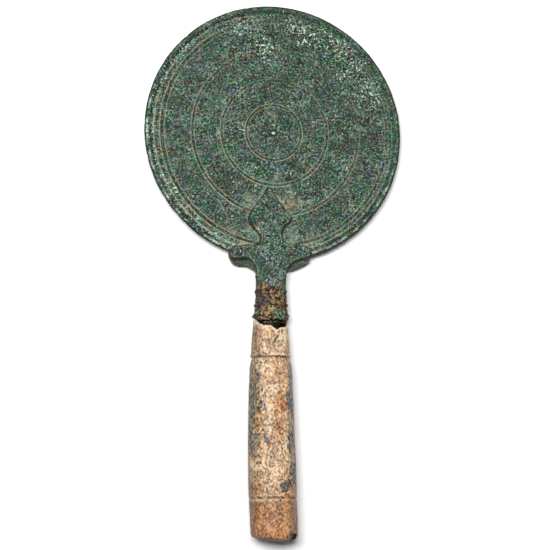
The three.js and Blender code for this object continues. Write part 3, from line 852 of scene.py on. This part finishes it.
def boneMaterial(name):
    material, tree, shader, where = newMaterial(name)
    fine = grain(tree, where, 820, 2, 0.6, stretch=(1, 0.8, 1))
    clouds = grain(tree, where, 250, 4, 0.6, shift=(0.4, 1.1, 0.2), stretch=(1, 0.6, 1))
    streaks = grain(tree, where, 600, 2, 0.5, shift=(3.4, 0.1, 7.2), stretch=(1, 0.10, 1))
    mixed = plus(tree, plus(tree, times(tree, fine, 0.62), times(tree, clouds, 0.26)), times(tree, streaks, 0.12))
    colour = shades(tree, mixed, [
        (0.37, paint(88, 62, 44)), (0.45, paint(150, 119, 92)), (0.5, paint(186, 154, 123)),
        (0.55, paint(210, 180, 147)), (0.63, paint(238, 219, 192)),
    ])
    tints = grain(tree, where, 170, 4, 0.6, shift=(5.3, 2.7, 1.9), stretch=(1, 0.5, 1))
    colour = blend(tree, 1.0, colour, shades(tree, tints, [
        (0.38, (0.80, 0.84, 0.86, 1)), (0.46, (0.93, 0.93, 0.90, 1)), (0.54, (0.98, 0.91, 0.80, 1)), (0.62, (0.98, 0.82, 0.66, 1)),
    ]), "MULTIPLY")
    colour = blend(tree, mask(tree, "warm"), colour, (0.76, 0.56, 0.40, 1), "MULTIPLY")
    # soil, and painted shade at the edges
    colour = blend(tree, mask(tree, "soilAndEdgeShade"), colour, (0.50, 0.48, 0.45, 1), "MULTIPLY")
    # pale patches and painted highlight lines
    paleAndHighlight = times(tree, mask(tree, "paleAndHighlight"), only(tree, fine, 0.36, 0.5))
    colour = blend(tree, paleAndHighlight, colour, paint(232, 206, 172))
    fleck = grain(tree, where, 620, 4, 0.62, shift=(2.0, 0.3, 1.0), stretch=(1, 0.6, 1))
    mossy = times(tree, mask(tree, "moss"), only(tree, fleck, 0.36, 0.52))
    colour = blend(tree, times(tree, mossy, 0.85), colour, (0.62, 0.68, 0.36, 1), "MULTIPLY")
    clusters = grain(tree, where, 230, 3, 0.6, shift=(7.7, 4.1, 0.6), stretch=(1, 0.5, 1))
    spotted = plus(tree, plus(tree, times(tree, mask(tree, "stain"), 0.17), times(tree, fleck, 0.65)), times(tree, clusters, 0.35))
    stained = times(tree, only(tree, spotted, 0.585, 0.64), only(tree, mask(tree, "stain"), 0.03, 0.2))
    greys = shades(tree, fine, [(0.38, paint(18, 18, 22)), (0.5, paint(52, 53, 56)), (0.6, paint(118, 118, 116))])
    colour = blend(tree, times(tree, stained, 0.88), colour, greys)
    pores = only(tree, grain(tree, where, 760, 2, 0.5, shift=(6.1, 2.9, 4.5), stretch=(1, 0.7, 1)), 0.65, 0.72)
    colour = blend(tree, times(tree, pores, 0.75), colour, paint(78, 48, 30))
    # dirt, and painted shade in the grooves, socket, chip and end face
    colour = blend(tree, mask(tree, "shadeAndDirt"), colour, paint(20, 12, 8))
    tree.links.new(colour, shader.inputs["Base Color"])
    shader.inputs["Specular IOR Level"].default_value = 0.35
    rough = addNode(tree, "ShaderNodeMapRange", {"Value": fleck, "From Min": 0.3, "From Max": 0.7, "To Min": 0.42, "To Max": 0.66})
    tree.links.new(rough.outputs[0], shader.inputs["Roughness"])
    bumped(tree, shader, (clouds, 0.3), (fine, 0.2))
    return material


# Build the pieces

mountMesh, outline = makeMount()
foot = [(p.x, p.y) for p in outline]
print("mount shaped")
finishPiece("leafMount", mountMesh, mountMaterial("crustedBronze", patina), "handle_mount")
discMesh = makeDisc(foot)
print("disc turned")
finishPiece("turnedDisc", discMesh, patinaMaterial("patinatedBronze", patina), "disc")
gripMesh = makeGrip()
print("grip turned")
finishPiece("boneGrip", gripMesh, boneMaterial("agedBone"), "handle")

# Table, lights and camera

studio = {
    "tableWide": 4.0,
    "sky": 0.11,
    "backdrop": 0.85,
    "keyPower": 27.5,
    "keySize": (0.9, 0.38),
    "keyPlace": (-0.20, 0.22, 1.39),
    "cameraTarget": (0.0014, -0.00335, 0.006),
    "cameraAway": 1.2,
    "cameraLean": (2.0, 4.5),  # degrees to the left and towards the grip's end
    "lens": 145.2,
}

bm = bmesh.new()
bmesh.ops.create_grid(bm, x_segments=1, y_segments=1, size=studio["tableWide"] / 2)
tableMesh = bpy.data.meshes.new("table")
bm.to_mesh(tableMesh)
bm.free()
table = bpy.data.objects.new("table", tableMesh)
tableMaterial, tableTree, tableShader, _ = newMaterial("whiteTable")
tableShader.inputs["Base Color"].default_value = (0.94, 0.94, 0.94, 1)
tableShader.inputs["Roughness"].default_value = 0.9
tableShader.inputs["Specular IOR Level"].default_value = 0.1
tableMesh.materials.append(tableMaterial)
bpy.context.scene.collection.objects.link(table)

world = bpy.data.worlds.new("softSky")
world.use_nodes = True
sky = world.node_tree.nodes["Background"]
sky.inputs["Color"].default_value = (1, 1, 1, 1)
seen = addNode(world.node_tree, "ShaderNodeLightPath").outputs["Is Camera Ray"]  # the backdrop is paler than its light
brightness = plus(world.node_tree, times(world.node_tree, seen, studio["backdrop"] - studio["sky"]), studio["sky"])
world.node_tree.links.new(brightness, sky.inputs["Strength"])
bpy.context.scene.world = world
bpy.context.scene.view_settings.view_transform = "Standard"


def facing(backwards):  # turns a light or camera so that it looks against this direction
    right = Vector((0, 1, 0)).cross(backwards).normalized()
    return Matrix((right, backwards.cross(right), backwards)).transposed().to_euler()


keyData = bpy.data.lights.new("key", "AREA")
keyData.energy = studio["keyPower"]
keyData.shape = "RECTANGLE"
keyData.size, keyData.size_y = studio["keySize"]
key = bpy.data.objects.new("key", keyData)
key.location = studio["keyPlace"]
key.rotation_euler = facing(Vector(studio["keyPlace"]).normalized())
bpy.context.scene.collection.objects.link(key)

cameraData = bpy.data.cameras.new("camera")
cameraData.lens = studio["lens"]
camera = bpy.data.objects.new("camera", cameraData)
leanLeft, leanDown = (math.tan(math.radians(a)) for a in studio["cameraLean"])
backwards = Vector((-leanLeft, -leanDown, 1)).normalized()
camera.location = Vector(studio["cameraTarget"]) + backwards * studio["cameraAway"]
camera.rotation_euler = facing(backwards)
bpy.context.scene.collection.objects.link(camera)
bpy.context.scene.camera = camera
print("studio ready")
